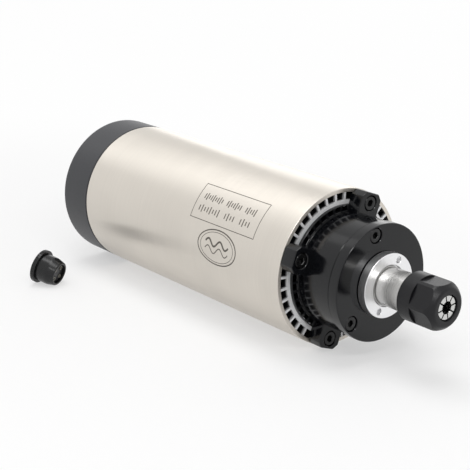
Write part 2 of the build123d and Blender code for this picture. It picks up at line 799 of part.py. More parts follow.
def plug_body():
    """Smooth barrel that narrows to the nose; a cable would enter from behind."""
    r = plug_body_dia / 2
    nose_r = plug_nose_dia / 2
    step = plug_flange_thickness + plug_body_length
    recess = plug_length - plug_recess_depth
    inner = nose_r - plug_wall
    return laid_down(turned([
        (0, 3.5), (0, r), (step, r), (step + 1.2, nose_r + 0.3), (plug_length, nose_r),
        (plug_length, inner), (recess - 4, inner), (recess - 4, 3.5),
    ]))


def plug_insert():
    recess = plug_length - plug_recess_depth
    r = plug_nose_dia / 2 - plug_wall - seat_gap
    shape = tube(recess - 4, recess, r)
    for a in every(contact_count, 45):
        shape -= round_bar(recess - 5, recess + 1, contact_dia + 2 * seat_gap, contact_circle() / 2, a)
    return laid_down(shape)


def contact_circle():
    """Pitch circle of the plug's contacts."""
    return pin_pcd - 1.6


def plug_contacts():
    recess = plug_length - plug_recess_depth
    contacts = []
    for a in every(contact_count, 45):
        contact = round_bar(recess - 4, recess + 0.5, contact_dia, contact_circle() / 2, a)
        contact -= round_bar(recess - 2, recess + 1, contact_bore, contact_circle() / 2, a)
        contacts.append(laid_down(contact))
    return contacts


# ---------------------------------------------------------------- everything
front_row = race_stations(bearing_rear, front_bearing_width, front_bearing_count)
rear_row = race_stations(rear_bearing_rear, rear_bearing_width, 1)
front_sizes = (front_bearing_dia, front_bearing_bore, front_ball_dia)
rear_sizes = (rear_bearing_dia, rear_bearing_bore, rear_ball_dia)

nodes = {
    "outer_sleeve": outer_sleeve(),
    "stator_housing": stator_housing(),
    "stator_core": stator_core(),
    "stator_windings": stator_windings(),
    "front_bell": front_bell(),
    "front_bell_screws": front_bell_screws(),
    "front_flange": front_flange(),
    "flange_screws": flange_screws(),
    "front_bearing_outer_races": outer_races(front_row, front_bearing_width, *front_sizes),
    "front_bearing_inner_races": inner_races(front_row, front_bearing_width, *front_sizes),
    "front_bearing_balls": balls(front_row, *front_sizes, front_ball_count),
    "front_bearing_cages": cages(front_row, *front_sizes, front_ball_count),
    "rear_bearing_outer_race": outer_races(rear_row, rear_bearing_width, *rear_sizes),
    "rear_bearing_inner_race": inner_races(rear_row, rear_bearing_width, *rear_sizes),
    "rear_bearing_balls": balls(rear_row, *rear_sizes, rear_ball_count),
    "rear_bearing_cage": cages(rear_row, *rear_sizes, rear_ball_count),
    "shaft": shaft(),
    "dust_ring": dust_ring(),
    "rotor_core": rotor_core(),
    "rotor_cage": rotor_cage(),
    "cooling_fan": fan(),
    "fan_clip": fan_clip(),
    "rear_bracket": rear_bracket(),
    "preload_washer": preload_washer(),
    "rear_cap": rear_cap(),
    "cap_gasket": cap_gasket(),
    "rear_cap_screws": rear_cap_screws(),
    "inlet_shell": inlet_shell(),
    "inlet_nut": inlet_nut(),
    "inlet_insert": inlet_insert(),
    "inlet_pins": inlet_pins(),
    "collet": collet(),
    "collet_nut": collet_nut(),
    "plug_body": plug_body(),
    "plug_ring": plug_ring(),
    "plug_insert": plug_insert(),
    "plug_contacts": plug_contacts(),
}

os.makedirs("parts", exist_ok=True)
for name, shape in nodes.items():
    save(name, shape)
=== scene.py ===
"""Looks of the air-cooled motor spindle: its visible pieces, finishes, floor, lights and camera."""
import math

import bmesh
import bpy
from mathutils import Matrix, Vector


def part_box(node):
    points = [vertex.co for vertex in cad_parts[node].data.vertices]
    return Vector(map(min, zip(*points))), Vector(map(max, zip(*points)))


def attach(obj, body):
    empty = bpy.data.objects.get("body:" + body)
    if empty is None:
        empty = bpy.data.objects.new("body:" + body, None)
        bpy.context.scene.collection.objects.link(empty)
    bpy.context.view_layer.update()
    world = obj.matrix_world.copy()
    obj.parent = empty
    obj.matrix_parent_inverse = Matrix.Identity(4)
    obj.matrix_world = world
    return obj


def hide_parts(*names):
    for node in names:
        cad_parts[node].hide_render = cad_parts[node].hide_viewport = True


bl_info = {
    "name": "Motor Spindle Looks",
    "version": (1, 0, 0),
    "blender": (4, 5, 0),
    "location": "3D View > Sidebar > Spindle",
    "description": "Builds the visible pieces and finishes of an air-cooled motor spindle",
    "category": "Object",
}

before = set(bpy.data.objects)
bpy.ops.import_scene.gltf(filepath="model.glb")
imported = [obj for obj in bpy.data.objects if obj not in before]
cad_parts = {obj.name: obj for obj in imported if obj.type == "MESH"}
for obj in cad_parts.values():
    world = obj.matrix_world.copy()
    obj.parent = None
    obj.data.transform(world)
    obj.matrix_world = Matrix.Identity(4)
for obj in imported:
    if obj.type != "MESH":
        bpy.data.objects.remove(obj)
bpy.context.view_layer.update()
MM = 0.001
ROUND = 192  # facets round a large turned piece
OVER = 1 * MM  # how far a cutter stands out of the face it opens
FLARE = 0.25 * MM  # widening at the mouth of a socket, slot or pocket
TURNED_BACK = Matrix.Rotation(math.pi, 4, "Y")
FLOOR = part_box("outer_sleeve")[0].z

# what the CAD model's boxes can't say: lengths in metres, clock angles in degrees from +Y towards +Z
LUGS, LUG_CLOCK, LUG_EDGE = 4, 69.0, 0.55 * MM
LUG_R, LUG_WIDTH, LUG_CORNER, LUG_X = 39.7 * MM, 13.5 * MM, 2.6 * MM, 8 * MM
LUG_SCREW_R, COUNTERBORE_R = 34.5 * MM, 3.9 * MM
BELL_BASE_R, BELL_BASE_X, BELL_NECK_X, BELL_HUB_R = 32.2 * MM, 1.6 * MM, 5.8 * MM, 28.8 * MM
BELL_SPIGOT_R = 30.98 * MM
POCKET_WIDTH, POCKET_DEPTH, POCKETS_A_SIDE, POCKET_PITCH = 3.1 * MM, 4 * MM, 7, 9.0
FLANGE_SCREWS, FLANGE_SCREW_R, FLANGE_SCREW_CLOCK, FLANGE_THROAT_R = 3, 24.9 * MM, 100.5, 13.95 * MM
SEAM_WIDTH, SEAM_DEPTH = 0.7 * MM, 1.2 * MM  # groove between the bell's hub and the flange
SCREW = (7 * MM, 4 * MM, 3 * MM, 2.2 * MM)  # head and shank across, key across and deep
SMALL_SCREW = (5.5 * MM, 3 * MM, 2 * MM, 1.2 * MM)
DUST_MOUTH_R, DUST_BACK_R, DUST_BORE_R = 10.3 * MM, 13.55 * MM, 9.97 * MM
DUST_RIM, DUST_MOUTH_DEPTH = 4.6 * MM, 2 * MM
SPANNER_HOLES, SPANNER_HOLE_R, SPANNER_HOLE_PLACE_R, SPANNER_HOLE_CLOCK = 2, 1.6 * MM, 13.1 * MM, 63.0
SHAFT_NOSE_R, SHAFT_MOUTH_R, SHAFT_RELIEF_R = 9.5 * MM, 8.36 * MM, 5.8 * MM
THREAD_LENGTH, THREAD_PITCH = 8 * MM, 1 * MM
COLLET_TAPER, COLLET_CONE = math.tan(math.radians(8)), math.tan(math.radians(30))
COLLET_BORE_R, COLLET_TAPER_R, COLLET_HEAD_R = 3 * MM, 8.3 * MM, 7.9 * MM
COLLET_HEAD, COLLET_RIM = 4.4 * MM, 0.6 * MM  # the head, and the straight rim behind its cone
COLLET_GROOVE, COLLET_GROOVE_R = 2.2 * MM, 6.8 * MM
COLLET_SLOTS, COLLET_SLOT, COLLET_BRIDGE, CHUCK_CLOCK = 8, 0.7 * MM, 4 * MM, 10.0
NUT_R, NUT_BORE_R, NUT_RELIEF_R, NUT_ROOM_R = 12 * MM, 9.56 * MM, 9.96 * MM, 9.3 * MM
NUT_LIP_R, NUT_CONE_R = 7.25 * MM, 7.96 * MM  # where it holds the collet's groove and cone
NUT_FLATS, NUT_CLOCK, NUT_FLAT_LENGTH, NUT_TAPER = 21.6 * MM, 30.0, 13 * MM, 3.2 * MM
NUT_FACE_R, NUT_MOUTH_R = 9.2 * MM, 6.3 * MM
SLEEVE_WALL, GASKET_INSET = 2 * MM, 1.2 * MM
CAP_WALL, CAP_HOLE_R, CAP_POST_R, CAP_SEAT_R, CAP_SEAT_DEPTH = 2.6 * MM, 8.02 * MM, 3.5 * MM, 3 * MM, 2.1 * MM
GRILLE_SLOTS, GRILLE_INNER_R, GRILLE_OUTER_R, GRILLE_SLOT = 24, 15 * MM, 31 * MM, 2.8 * MM
INLET_R, INLET_BORE_R, INLET_NUT_R, INLET_NUT_HEIGHT = 8 * MM, 6.9 * MM, 9.5 * MM, 2 * MM
CONTACTS, CONTACT_CLOCK = 4, 45
PIN_R, PIN_PLACE_R = 0.75 * MM, 4.5 * MM
PLUG_X, PLUG_Y, PLUG_TURN = -170 * MM, -71 * MM, 25.0
PLUG_RING, PLUG_RING_R, PLUG_BARREL, PLUG_R = 2.6 * MM, 9.65 * MM, 6.4 * MM, 8 * MM
PLUG_NOSE, PLUG_NOSE_R, PLUG_WALL, PLUG_RECESS = 4.6 * MM, 6.6 * MM, 1.1 * MM, 1.6 * MM
PLUG_INSERT, PLUG_CORD_R, PLUG_RIBS = 4 * MM, 3.5 * MM, 36
CONTACT_R, CONTACT_PLACE_R, CONTACT_HOLE_R, CONTACT_DEPTH = 1.1 * MM, 3.7 * MM, 1.2 * MM, 3 * MM
RATING_FRAME = (-72.7 * MM, -22.5 * MM, 128.5, 156.0)
TICK_ROWS = [(147.8, (8, 4, 4)), (138.2, (9, 7, 5))]
TICK_REACH, TICK_MARGIN, TICK_GAP = 2.9, 4.5 * MM, 1.6  # the gap between groups is in ticks' spaces
OVAL = (-47.5 * MM, 171.5, 15 * MM, 12.6)

MIDDLE = (-0.06, 0, 0)  # what the lamps look at
LAMPS = (  # name, place, width, height, watts
    ("overhead softbox", (-0.08, -0.1, 1.1), 0.9, 0.5, 5),
    ("rear softbox", (-1.05, 1.15, 0.42), 0.7, 0.5, 1.4),
    ("left softbox", (-1.1, -0.25, 0.85), 0.35, 0.8, 0.55),
    ("front strip", (0.62, -0.4, 0.65), 0.7, 0.1, 2.6),
)
LENS, SENSOR = 94.01, 36.0  # millimetres
CAMERA_PLACE = (0.41047, -0.39815, 0.20309)
CAMERA_RIGHT, CAMERA_UP = (0.62914, 0.77729, 0), (-0.24182, 0.19573, 0.95038)


def low(node):
    """Rear station of a node, in metres."""
    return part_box(node)[0].x


def high(node):
    """Front station of a node, in metres."""
    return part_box(node)[1].x


def reach(node):
    """Largest radius of a round node that has its axis on X."""
    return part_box(node)[1].y


def span(node):
    """Rear station, front station and largest radius of a node."""
    return low(node), high(node), reach(node)


# ---------- sizes and colours
def length_setting(name, description, default):
    return bpy.props.FloatProperty(name=name, description=description, default=default,
                                   unit="LENGTH", precision=5)


def colour_setting(name, description, hex_value):
    return bpy.props.FloatVectorProperty(name=name, description=description, size=3, min=0, max=1,
                                         subtype="COLOR", default=srgb(hex_value)[:3])


def srgb(hex_value):
    """sRGB hex to linear RGBA."""
    channels = [int(hex_value[i:i + 2], 16) / 255 for i in (1, 3, 5)]
    linear = [c / 12.92 if c <= 0.04045 else ((c + 0.055) / 1.055) ** 2.4 for c in channels]
    return (*linear, 1.0)


class SpindleSizes(bpy.types.PropertyGroup):
    """Sizes that only the looks need; everything else comes from the frame."""
    edge: length_setting("Edge", "Broken edge on machined pieces", 0.35 * MM)
    mark_width: length_setting("Mark width", "Width of a laser-etched line", 0.38 * MM)
    mark_height: length_setting("Mark height", "How far a mark stands on the sleeve", 0.02 * MM)


class SpindleColours(bpy.types.PropertyGroup):
    """Base colours of the finishes."""
    stainless: colour_setting("Stainless", "Brushed sleeve", "#D7D1C8")
    cap: colour_setting("Cap", "Moulded rear cap", "#2E2F33")
    black: colour_setting("Black", "Black anodised casting", "#0A0B0E")
    aluminium: colour_setting("Aluminium", "Bright turned aluminium", "#F2F2F3")
    steel: colour_setting("Steel", "Ground shaft", "#C9C8C6")
    nut: colour_setting("Nut", "Blackened nut", "#101013")
    mark: colour_setting("Mark", "Laser-etched line", "#5A554E")


def sizes():
    return bpy.context.scene.spindle_sizes


def colours():
    return bpy.context.scene.spindle_colours


# ---------- finishes
def feed(tree, node, links):
    """Give a node's inputs, by name or number, other sockets or values."""
    for key, value in links.items():
        if isinstance(value, bpy.types.NodeSocket):
            tree.links.new(value, node.inputs[key])
        else:
            node.inputs[key].default_value = value
    return node


def add_node(tree, kind, links=(), **settings):
    """Add a node; settings set its properties, and links feed its inputs."""
    made = tree.nodes.new(kind)
    for key, value in settings.items():
        setattr(made, key, value)
    return feed(tree, made, dict(links))


def shade(colour, factor):
    """A colour made darker or lighter."""
    return (*[min(1.0, c * factor) for c in colour[:3]], 1.0)


def finish_of(name, colour, stretch, gloss, tones=(0.9, 1.08), relief=0.3, metallic=0.0, sheen=0.5,
              round_axis=False, brushed=0.0):
    """A finish whose grain, noise stretched by so many waves a metre on each axis, drives its tone,
    its gloss and a relief of so many hundredths of a millimetre."""
    if name in bpy.data.materials:
        return bpy.data.materials[name]
    material = bpy.data.materials.new(name)
    material.use_nodes = True
    tree = material.node_tree
    look = {"Metallic": metallic}
    if not metallic:
        look["Specular IOR Level"] = sheen
    if brushed:
        along = add_node(tree, "ShaderNodeTangent", direction_type="RADIAL", axis="X").outputs[0]
        look.update({"Tangent": along, "Anisotropic": brushed, "Anisotropic Rotation": 0.25})
    place = add_node(tree, "ShaderNodeTexCoord").outputs["Object"]
    if round_axis:
        apart = add_node(tree, "ShaderNodeSeparateXYZ", {0: place}).outputs
        flat = add_node(tree, "ShaderNodeCombineXYZ", {"Y": apart["Y"], "Z": apart["Z"]}).outputs[0]
        radius = add_node(tree, "ShaderNodeVectorMath", {0: flat}, operation="LENGTH").outputs["Value"]
        place = add_node(tree, "ShaderNodeCombineXYZ", {"X": radius}).outputs[0]
    spread = add_node(tree, "ShaderNodeMapping", {"Vector": place, "Scale": stretch}).outputs[0]
    grain = add_node(tree, "ShaderNodeTexNoise", {"Vector": spread, "Scale": 1.0, "Detail": 3.0}).outputs[0]
    cloud = add_node(tree, "ShaderNodeTexNoise", {"Vector": place, "Scale": 30.0, "Detail": 2.0}).outputs[0]
    both = add_node(tree, "ShaderNodeMath", {0: grain, 1: cloud}, operation="ADD").outputs[0]
    tone = add_node(tree, "ShaderNodeMapRange",
                    {"Value": both, "From Min": 0.7, "From Max": 1.3}).outputs[0]
    ends = {6: shade(colour, tones[0]), 7: shade(colour, tones[1])}
    mixed = add_node(tree, "ShaderNodeMix", {0: tone, **ends}, data_type="RGBA").outputs[2]
    rough = add_node(tree, "ShaderNodeMapRange", {"Value": grain, "From Min": 0.3, "From Max": 0.7,
                                                  "To Min": gloss[0], "To Max": gloss[1]}).outputs[0]
    bump = add_node(tree, "ShaderNodeBump",
                    {"Height": grain, "Distance": relief * 0.01 * MM, "Strength": 0.5}).outputs[0]
    look.update({"Base Color": mixed, "Roughness": rough, "Normal": bump})
    feed(tree, tree.nodes["Principled BSDF"], look)
    return material


def brushed_stainless():
    """Stainless tube, belt-brushed round its girth: fine rings stretch the highlights lengthwise."""
    return finish_of("brushed stainless steel", colours().stainless, (2600, 9, 9), (0.3, 0.39),
                     (0.95, 1.03), 0.45, metallic=1.0, brushed=0.7)


def slate_nylon():
    """Glass-filled nylon, moulded on a fine spark-eroded texture: an even satin."""
    return finish_of("slate grey nylon", colours().cap, (1800,) * 3, (0.4, 0.5), (0.93, 1.07), 1.5)


def black_anodised():
    """Machined casting under black anodising: satin with a fine tooth."""
    return finish_of("black anodised aluminium", colours().black, (2500,) * 3, (0.12, 0.19),
                     (0.85, 1.15), 0.08, sheen=0.35)


def turned_aluminium():
    """Bright aluminium faced on a lathe: fine circles round the axis."""
    return finish_of("turned aluminium", colours().aluminium, (5000, 1, 1), (0.24, 0.38), (0.96, 1.02),
                     0.5, metallic=1.0, round_axis=True)


def extruded_aluminium():
    """Extrusion with a pale oxide skin that scatters light; down the channels its colour is darkened to near
    black as painted shade.
    """
    name = "oxidised extruded aluminium"
    if name in bpy.data.materials:
        return bpy.data.materials[name]
    material = finish_of(name, colours().aluminium, (60, 1500, 1500), (0.4, 0.55), (0.92, 1.0), 0.4,
                         metallic=0.35)
    tree, face = material.node_tree, high("stator_housing")
    skin = tree.nodes["Principled BSDF"].inputs["Base Color"]
    bright = skin.links[0].from_socket
    place = add_node(tree, "ShaderNodeTexCoord").outputs["Object"]
    station = add_node(tree, "ShaderNodeSeparateXYZ", {0: place}).outputs["X"]
    # painted shade: within 1.6 mm behind the front face the colour ramps to near black down the channels
    painted_channel_shade = add_node(tree, "ShaderNodeMapRange", {"Value": station, "From Min": face - 1.6 * MM,
                                                    "From Max": face - 0.2 * MM}).outputs[0]
    ends = {6: srgb("#121213"), 7: bright}
    mixed = add_node(tree, "ShaderNodeMix", {0: painted_channel_shade, **ends}, data_type="RGBA").outputs[2]
    tree.links.new(mixed, skin)
    return material


def ground_steel():
    """Hardened steel ground between centres: mirror-like with very fine rings."""
    return finish_of("ground steel", colours().steel, (5000, 8, 8), (0.22, 0.34), (0.9, 1.0), 0.4,
                     metallic=1.0, brushed=0.6)


def blackened_nut():
    """Steel nut under black oxide: a charcoal satin skin."""
    return finish_of("black oxide steel", colours().nut, (1200,) * 3, (0.3, 0.42), (0.88, 1.1),
                     0.3, sheen=0.32)


def screw_black():
    """Black oxide on a socket screw: darker and drier than the casting, so its rim shows."""
    return finish_of("black oxide screw steel", srgb("#0B0B0C"), (1500,) * 3, (0.2, 0.3),
                     (0.8, 1.1), 0.2, sheen=0.4)


def etched_line():
    """Laser-annealed stainless: a dull brown-grey oxide in the surface."""
    return finish_of("laser-annealed stainless steel", colours().mark, (2600, 900, 900), (0.5, 0.6),
                     (0.85, 1.1), 0.3)


def metal(name, hex_value, gloss, waves=700):
    """A plain metal's grain in tone and gloss, as on a small or sheltered piece."""
    return finish_of(name, srgb(hex_value), (waves,) * 3, gloss, (0.85, 1.02), 0.4, metallic=1.0)


def moulded(name, hex_value, gloss, sheen=0.5):
    """Moulded plastic or rubber with its mould's grain."""
    return finish_of(name, srgb(hex_value), (1500,) * 3, gloss, (0.88, 1.12), 1.2, sheen=sheen)


def phenolic():
    """Moulded black phenolic that carries the contacts: half matt."""
    return moulded("black phenolic", "#17171A", (0.34, 0.46))


# ---------- meshes
def linked(name, data):
    """New object in the scene that shows the data."""
    made = bpy.data.objects.new(name, data)
    bpy.context.scene.collection.objects.link(made)
    return made


def from_bmesh(name, work):
    bmesh.ops.remove_doubles(work, verts=work.verts, dist=1e-7)
    bmesh.ops.recalc_face_normals(work, faces=work.faces)
    mesh = bpy.data.meshes.new(name)
    work.to_mesh(mesh)
    work.free()
    return linked(name, mesh)


def circle(radius, count, turn=0.0):
    """Points round the axis as a (y, z) section."""
    angles = [turn + 2 * math.pi * i / count for i in range(count)]
    return [(radius * math.cos(a), radius * math.sin(a)) for a in angles]


def polygon(corners, across_flats, turn=0.0):
    """Regular polygon as a (y, z) section."""
    return circle(across_flats / 2 / math.cos(math.pi / corners), corners, turn)


def lathe(name, outline, facets=ROUND):
    """Closed solid of revolution round X from an (x, radius) outline in metres."""
    work = bmesh.new()
    rings = []
    for x, radius in outline:
        points = circle(radius, facets) if radius > 0 else [(0, 0)]
        rings.append([work.verts.new((x, y, z)) for y, z in points])
    closed = all(radius > 0 for _, radius in outline)
    pairs = list(zip(rings, rings[1:])) + ([(rings[-1], rings[0])] if closed else [])
    for one, two in pairs:
        for i in range(facets):
            j = (i + 1) % facets
            corners = [one[i % len(one)], one[j % len(one)], two[j % len(two)], two[i % len(two)]]
            unique = list(dict.fromkeys(corners))
            if len(unique) > 2:
                work.faces.new(unique)
    return from_bmesh(name, work)


def lofted(name, levels):
    """Closed solid through sections of as many corners, given as (x, (y, z) section)."""
    work = bmesh.new()
    rings = [[work.verts.new((x, y, z)) for y, z in section] for x, section in levels]
    work.faces.new(rings[0])
    work.faces.new(rings[-1])
    for one, two in zip(rings, rings[1:]):
        for i in range(len(one)):
            j = (i + 1) % len(one)
            work.faces.new((one[i], one[j], two[j], two[i]))
    return from_bmesh(name, work)


def prism(name, section, x0, x1):
    """Closed solid between two stations from a (y, z) section."""
    return lofted(name, [(x0, section), (x1, section)])


def block_section(inner, outer, width):
    """Radial block as a (y, z) section."""
    return [(inner, -width / 2), (outer, -width / 2), (outer, width / 2), (inner, width / 2)]


def applied(piece):
    """Turn a piece's modifiers into its mesh."""
    depsgraph = bpy.context.evaluated_depsgraph_get()
    depsgraph.update()
    mesh = bpy.data.meshes.new_from_object(piece.evaluated_get(depsgraph))
    piece.modifiers.clear()
    piece.data = mesh
    return piece


def cut(piece, *tools, operation="DIFFERENCE"):
    """Cut tools from a piece, or join them to it, and remove the tools."""
    for tool in tools:
        modifier = piece.modifiers.new("cut", "BOOLEAN")
        modifier.operation = operation
        modifier.solver = "EXACT"
        modifier.object = tool
        applied(piece)
        bpy.data.objects.remove(tool)
    return piece


def joined(piece, *others):
    return cut(piece, *others, operation="UNION")


def broken_edges(piece, width):
    """Small bevel on the sharp edges, so that they catch the light."""
    modifier = piece.modifiers.new("edges", "BEVEL")
    modifier.width = width
    modifier.segments = 2
    modifier.limit_method = "ANGLE"
    modifier.angle_limit = math.radians(20)
    return applied(piece)


def finished(piece, body, material, replaces=(), angle=30.0):
    """Smooth the round faces but not the flat ones, give the finish, and ride on the body."""
    mesh = piece.data
    mesh.materials.clear()
    mesh.materials.append(material)
    mesh.shade_smooth()
    mesh.set_sharp_from_angle(angle=math.radians(angle))
    weighting = piece.modifiers.new("flat faces stay flat", "WEIGHTED_NORMAL")
    weighting.keep_sharp = True
    applied(piece)
    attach(piece, body)
    if replaces:
        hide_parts(*replaces)


# ---------- rings of copies
def ring_tree():
    """Geometry Nodes tree: copies of the mesh, turned round X in sets."""
    name = "ring of copies"
    if name in bpy.data.node_groups:
        return bpy.data.node_groups[name]
    tree = bpy.data.node_groups.new(name, "GeometryNodeTree")
    for label, kind in (("Geometry", "Geometry"), ("Sets", "Int"), ("Per set", "Int"), ("Step", "Float"),
                        ("Start", "Float")):
        tree.interface.new_socket(label, in_out="INPUT", socket_type="NodeSocket" + kind)
    tree.interface.new_socket("Geometry", in_out="OUTPUT", socket_type="NodeSocketGeometry")
    values = {socket.name: socket for socket in add_node(tree, "NodeGroupInput").outputs}
    values["Index"] = add_node(tree, "GeometryNodeInputIndex").outputs[0]
    for result, operation, one, two in (
            ("Total", "MULTIPLY", "Sets", "Per set"),
            ("Sets passed", "DIVIDE", "Index", "Per set"),
            ("Set", "FLOOR", "Sets passed", 0.0),
            ("Copies before", "MULTIPLY", "Set", "Per set"),
            ("Place in set", "SUBTRACT", "Index", "Copies before"),
            ("Steps in set", "SUBTRACT", "Per set", 1.0),
            ("Middle", "MULTIPLY", "Steps in set", 0.5),
            ("From middle", "SUBTRACT", "Place in set", "Middle"),
            ("Turn in set", "MULTIPLY", "From middle", "Step"),
            ("Turn of one set", "DIVIDE", 2 * math.pi, "Sets"),
            ("Turn of set", "MULTIPLY", "Set", "Turn of one set"),
            ("Turn", "ADD", "Turn of set", "Turn in set"),
            ("Angle", "ADD", "Turn", "Start")):
        terms = {0: values.get(one, one), 1: values.get(two, two)}
        values[result] = add_node(tree, "ShaderNodeMath", terms, operation=operation).outputs[0]
    points = add_node(tree, "GeometryNodePoints", {"Count": values["Total"]}).outputs[0]
    rotation = add_node(tree, "ShaderNodeCombineXYZ", {"X": values["Angle"]}).outputs[0]
    copies = add_node(tree, "GeometryNodeInstanceOnPoints", {
        "Points": points, "Instance": values["Geometry"], "Rotation": rotation}).outputs[0]
    real = add_node(tree, "GeometryNodeRealizeInstances", {0: copies}).outputs[0]
    add_node(tree, "NodeGroupOutput", {0: real})
    return tree


def ringed(piece, sets, start=0.0, per_set=1, step=0.0):
    """Repeat a piece round the axis, in sets of so many, a step apart; angles in degrees."""
    modifier = piece.modifiers.new("ring", "NODES")
    modifier.node_group = ring_tree()
    given = {"Sets": sets, "Per set": per_set, "Step": math.radians(step), "Start": math.radians(start)}
    for item in modifier.node_group.interface.items_tree:
        if item.name in given:
            modifier[item.identifier] = given[item.name]
    return applied(piece)


# ---------- outlines and cutters
def rounded(corners, steps):
    """Outline whose corners, given as (x, radius, rounding), are turned into short arcs."""
    points = []
    count = len(corners)
    for i, (x, r, rounding) in enumerate(corners):
        here = Vector((x, r))
        if rounding <= 0:
            points.append((x, r))
            continue
        back = Vector(corners[i - 1][:2]) - here
        ahead = Vector(corners[(i + 1) % count][:2]) - here
        start = here + back.normalized() * min(rounding, back.length * 0.45)
        end = here + ahead.normalized() * min(rounding, ahead.length * 0.45)
        for k in range(steps + 1):
            t = k / steps
            point = start * (1 - t) ** 2 + here * 2 * t * (1 - t) + end * t * t
            points.append(tuple(point))
    return points


def turned(name, corners, facets=ROUND, steps=3):
    """Turned piece with rounded corners; corners are (x, radius, rounding)."""
    return lathe(name, rounded(corners, steps), facets)


def moved(piece, matrix):
    piece.data.transform(matrix)
    return piece


def off_axis(radius):
    """Move a piece from the axis out to a radius, at angle 0."""
    return Matrix.Translation((0, radius, 0))


def countersunk(name, floor_x, face_x, radius, flare, place_r, facets=40):
    """Cutter for a round hole that is open at face_x, with a small flare at its mouth."""
    mouth, end = radius + flare, face_x + OVER
    piece = lathe(name, [(floor_x, 0), (floor_x, radius), (face_x - flare, radius), (face_x, mouth),
                         (end, mouth), (end, 0)], facets)
    return moved(piece, off_axis(place_r))


def flared_prism(name, section, x0, face_x):
    """Cutter with a straight section that widens a little at the face."""
    centre = sum((Vector(p) for p in section), Vector((0, 0))) / len(section)
    wide = []
    for point in section:
        away = Vector(point) - centre
        wide.append(centre + away * (1 + FLARE / (away.length * 0.7)))
    return lofted(name, [(x0, section), (face_x - FLARE, section), (face_x, wide), (face_x + OVER, wide)])


def screw_ring(node, size, head_height, front, shank_end, place, count, start):
    """Socket cap screws of one node, made on the axis with their heads towards +X, placed and repeated."""
    head, shank, key, key_depth = size
    seat = front - head_height
    screw = turned(node + "_dressed", [
        (shank_end, 0, 0), (shank_end, shank / 2, 0.3 * MM), (seat, shank / 2, 0),
        (seat, head / 2, 0), (front, head / 2, 0.45 * MM), (front, 0, 0)], facets=48)
    cut(screw, flared_prism("socket", polygon(6, key), front - key_depth, front))
    ringed(moved(screw, place), count, start)
    finished(screw, "housing", screw_black(), [node])


# ---------- sleeve and its marks
def bent_strip(name, route, width, radius, height):
    """Thin strip that lies on the sleeve along a closed or open route of (x, angle) points."""
    closed = (Vector(route[0]) - Vector(route[-1])).length < 1e-9
    flat = [Vector((x, math.radians(a) * radius)) for x, a in route[:-1 if closed else None]]
    count = len(flat)
    sides = []
    for i, here in enumerate(flat):
        back = flat[i - 1] if closed or i else here
        ahead = flat[(i + 1) % count] if closed or i < count - 1 else here
        first = (here - back).normalized() if (here - back).length else (ahead - here).normalized()
        last = (ahead - here).normalized() if (ahead - here).length else first
        along = (first + last).normalized()
        across = Vector((-along.y, along.x)) / max(0.5, along.dot(first))
        sides.append([here + across * (width / 2), here - across * (width / 2)])
    work = bmesh.new()

    def wrapped(point, r):
        angle = point.y / radius
        return work.verts.new((point.x, r * math.cos(angle), r * math.sin(angle)))

    foot, top = radius - 0.05 * MM, radius + height
    rings = [[wrapped(one, foot), wrapped(one, top), wrapped(two, top), wrapped(two, foot)]
             for one, two in sides]
    for i in range(count if closed else count - 1):
        one, two = rings[i], rings[(i + 1) % count]
        for k in range(4):
            work.faces.new((one[k], one[(k + 1) % 4], two[(k + 1) % 4], two[k]))
    if not closed:
        work.faces.new(rings[0])
        work.faces.new(rings[-1])
    return from_bmesh(name, work)


def dense(route):
    """Points added every degree or 4 mm along straight runs, so that a strip can bend with the sleeve."""
    result = []
    for (x0, a0), (x1, a1) in zip(route, route[1:]):
        pieces = max(1, math.ceil(max(abs(x1 - x0) / (4 * MM), abs(a1 - a0))))
        result += [(x0 + (x1 - x0) * k / pieces, a0 + (a1 - a0) * k / pieces) for k in range(pieces)]
    return [*result, route[-1]]


def sleeve():
    rear, front, r = span("outer_sleeve")
    bore, edge = r - SLEEVE_WALL, sizes().edge
    piece = turned("sleeve", [(rear, bore, 0), (front, bore, 0.15 * MM), (front, r, edge), (rear, r, edge)],
                   facets=256)
    finished(piece, "housing", brushed_stainless(), ["outer_sleeve"])


def etched_marks():
    """Frame round rows of plain ticks, and an oval round two plain waves."""
    r = reach("outer_sleeve")
    width, height = sizes().mark_width, sizes().mark_height
    x0, x1, a0, a1 = RATING_FRAME
    frame_route = dense([(x0, a0), (x1, a0), (x1, a1), (x0, a1), (x0, a0)])
    marks = [bent_strip("rating_frame", frame_route, width, r, height)]
    for angle, groups in TICK_ROWS:
        spaces = sum(groups) + TICK_GAP * (len(groups) - 1)
        step = (x1 - x0 - 2 * TICK_MARGIN) / spaces
        x = x0 + TICK_MARGIN
        for count in groups:
            for tick in range(count):
                half = TICK_REACH * (0.7, 1.0, 0.55)[tick % 3]
                route = dense([(x, angle - half), (x, angle + half)])
                marks.append(bent_strip("tick", route, width * 1.8, r, height))
                x += step
            x += TICK_GAP * step
    cx, ca, rx, ra = OVAL
    around = [2 * math.pi * i / 72 for i in range(72)] + [0]
    for size, thick in ((1.0, 1.7), (0.86, 0.8)):
        ring = [(cx + rx * size * math.cos(t), ca + ra * size * math.sin(t)) for t in around]
        marks.append(bent_strip("oval", ring, width * thick, r, height))
    for lift, thick in ((-2.6, 2.6), (2.6, 1.4)):
        wave = [(cx + rx * 0.6 * t / 20, ca + lift - 2.4 * math.sin(math.pi * t / 10))
                for t in range(-20, 21)]
        marks.append(bent_strip("wave", wave, width * thick, r, height))
    piece = merged("etched_marks", marks)
    finished(piece, "housing", etched_line())


def merged(name, pieces):
    """One object from several that don't overlap."""
    work = bmesh.new()
    for piece in pieces:
        work.from_mesh(piece.data)
        bpy.data.objects.remove(piece)
    return from_bmesh(name, work)


# ---------- front end
def screw_lug(inner):
    """One screw lug: a radial block with cut-off outer corners and broken edges."""
    half, outer, corner = LUG_WIDTH / 2, LUG_R, LUG_CORNER
    section = [(inner, -half), (outer - corner, -half), (outer, -half + corner), (outer, half - corner),
               (outer - corner, half), (inner, half)]
    return broken_edges(prism("lug", section, 0, LUG_X), LUG_EDGE)


